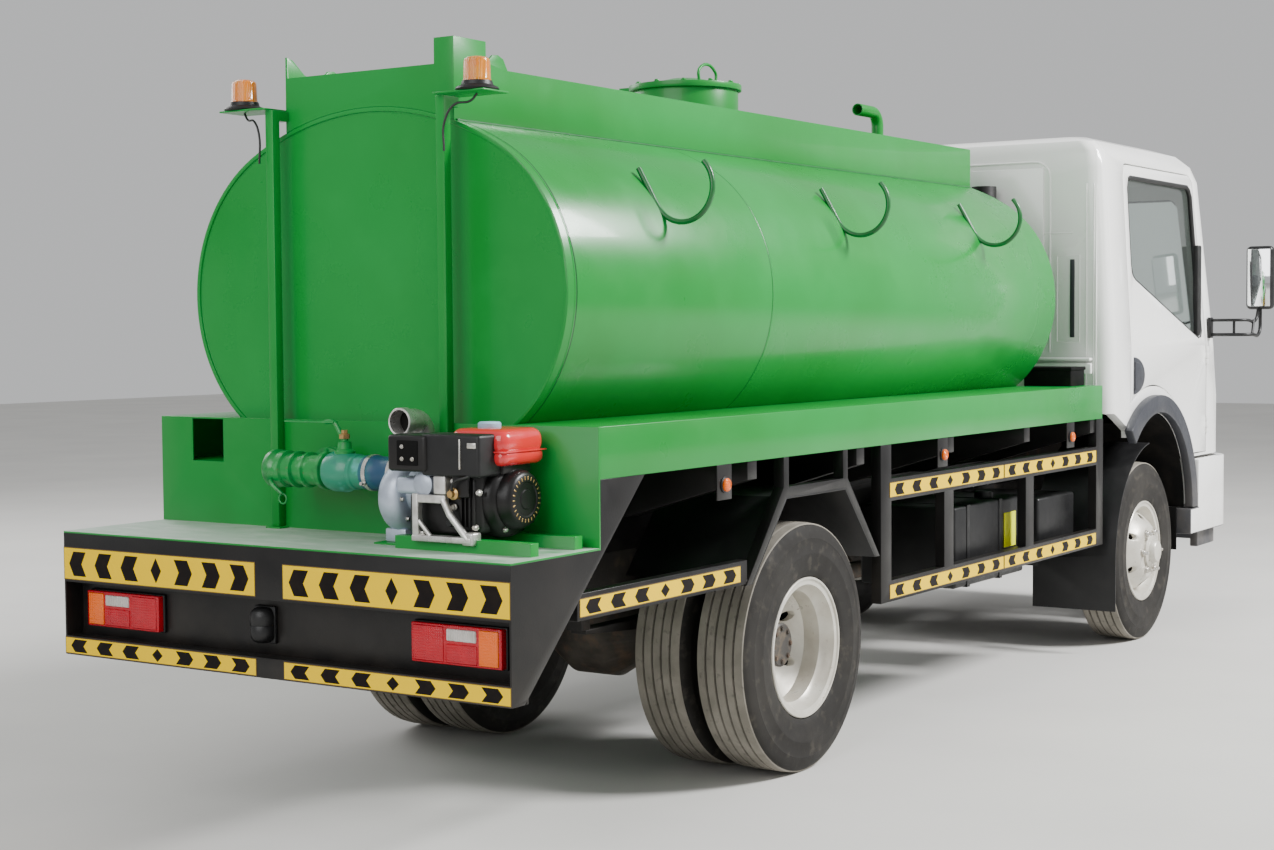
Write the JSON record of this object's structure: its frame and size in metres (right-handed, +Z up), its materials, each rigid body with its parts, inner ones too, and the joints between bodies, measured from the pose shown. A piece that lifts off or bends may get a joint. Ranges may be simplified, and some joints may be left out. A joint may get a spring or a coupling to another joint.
{
  "type": "tanker truck",
  "caption": "Small cab-over water truck with an oval tank, walkway and manhole, hose trays, rear deck with suction pump, side guards, tilting cab, doors and wheels that turn.",
  "frame": {"origin": "on the ground under the middle of the truck's overall box", "axes": "+X forward along the truck, +Y to its left, +Z up"},
  "size_m": [6.36, 2.34, 2.527],
  "materials": {
    "green_paint": "gloss",
    "worn_green": "worn",
    "white_paint": "gloss",
    "black_steel": "satin",
    "silver_steel": "satin",
    "cast_aluminium": "cast",
    "cast_iron": "rough",
    "tyre": "matt",
    "black_plastic": "matt",
    "grey_plastic": "matt",
    "lamp_plastic": "gloss",
    "clear_plastic": "gloss",
    "glass": "clear"
  },
  "bodies": {
    "chassis": {"chassis_frame": "black_steel", "tank_bearers": "green_paint", "tank_shell": "green_paint", "coaming": "green_paint", "tank_fittings": "green_paint", "hose_hooks": "green_paint", "hose_trays": "green_paint", "rear_wall": "worn_green", "rear_bumper": "green_paint", "lamps": "lamp_plastic", "rear_posts": "green_paint", "suction_pipe": "green_paint", "pump_casing": "cast_aluminium", "pump_engine": "black_plastic", "side_guards": "black_steel", "mudguards": "black_plastic", "side_boxes": "black_steel", "rear_axle": "cast_iron", "leaf_springs": "black_steel", "front_axle": "cast_iron", "power_train": "cast_iron", "engine_pipes": "black_steel"},
    "cab": {"cab_shell": "white_paint", "cab_floor": "black_steel", "cab_glass": "glass", "cab_interior": "grey_plastic", "front_bumper": "white_paint", "head_lamps": "clear_plastic", "mirrors": "black_plastic", "arch_flares": "black_plastic"},
    "left_door": {"door_left": "white_paint", "door_glass_left": "glass"},
    "right_door": {"door_right": "white_paint", "door_glass_right": "glass"},
    "left_knuckle": {"knuckle_left": "cast_iron"},
    "right_knuckle": {"knuckle_right": "cast_iron"},
    "front_left_wheel": {"front_tyre_left": "tyre", "front_rim_left": "silver_steel"},
    "front_right_wheel": {"front_tyre_right": "tyre", "front_rim_right": "silver_steel"},
    "rear_left_wheels": {"rear_tyre_left": "tyre", "rear_rim_left": "silver_steel"},
    "rear_right_wheels": {"rear_tyre_right": "tyre", "rear_rim_right": "silver_steel"},
    "lid": {"manhole_lid": "green_paint"}
  },
  "joints": [
    {"name": "cab_tilt", "type": "hinge", "parent": "chassis", "child": "cab", "pos_m": [2.95, 0, 0.69], "axis": [0, 1, 0], "range_deg": [0, 45]},
    {"name": "left_door_hinge", "type": "hinge", "parent": "cab", "child": "left_door", "pos_m": [2.8265, 0.893, 1.2], "axis": [0, 0, -1], "range_deg": [0, 65]},
    {"name": "right_door_hinge", "type": "hinge", "parent": "cab", "child": "right_door", "pos_m": [2.8265, -0.893, 1.2], "axis": [0, 0, 1], "range_deg": [0, 65]},
    {"name": "left_steering", "type": "hinge", "parent": "chassis", "child": "left_knuckle", "pos_m": [1.95, 0.61, 0.43], "axis": [0, 0, 1], "range_deg": [-32, 32]},
    {"name": "right_steering", "type": "hinge", "parent": "chassis", "child": "right_knuckle", "pos_m": [1.95, -0.61, 0.43], "axis": [0, 0, 1], "range_deg": [-32, 32]},
    {"name": "front_left_spin", "type": "hinge", "parent": "left_knuckle", "child": "front_left_wheel", "pos_m": [1.95, 0.7685, 0.43], "axis": [0, 1, 0], "continuous": true},
    {"name": "front_right_spin", "type": "hinge", "parent": "right_knuckle", "child": "front_right_wheel", "pos_m": [1.95, -0.7685, 0.43], "axis": [0, 1, 0], "continuous": true},
    {"name": "rear_left_spin", "type": "hinge", "parent": "chassis", "child": "rear_left_wheels", "pos_m": [-1.44, 0.627, 0.43], "axis": [0, 1, 0], "continuous": true},
    {"name": "rear_right_spin", "type": "hinge", "parent": "chassis", "child": "rear_right_wheels", "pos_m": [-1.44, -0.627, 0.43], "axis": [0, 1, 0], "continuous": true},
    {"name": "lid_hinge", "type": "hinge", "parent": "chassis", "child": "lid", "pos_m": [-0.85, 0.262, 2.454], "axis": [-1, 0, 0], "range_deg": [0, 100]}
  ],
  "couplings": [
    {"joint": "right_steering", "follows": "left_steering", "ratio": 1}
  ]
}
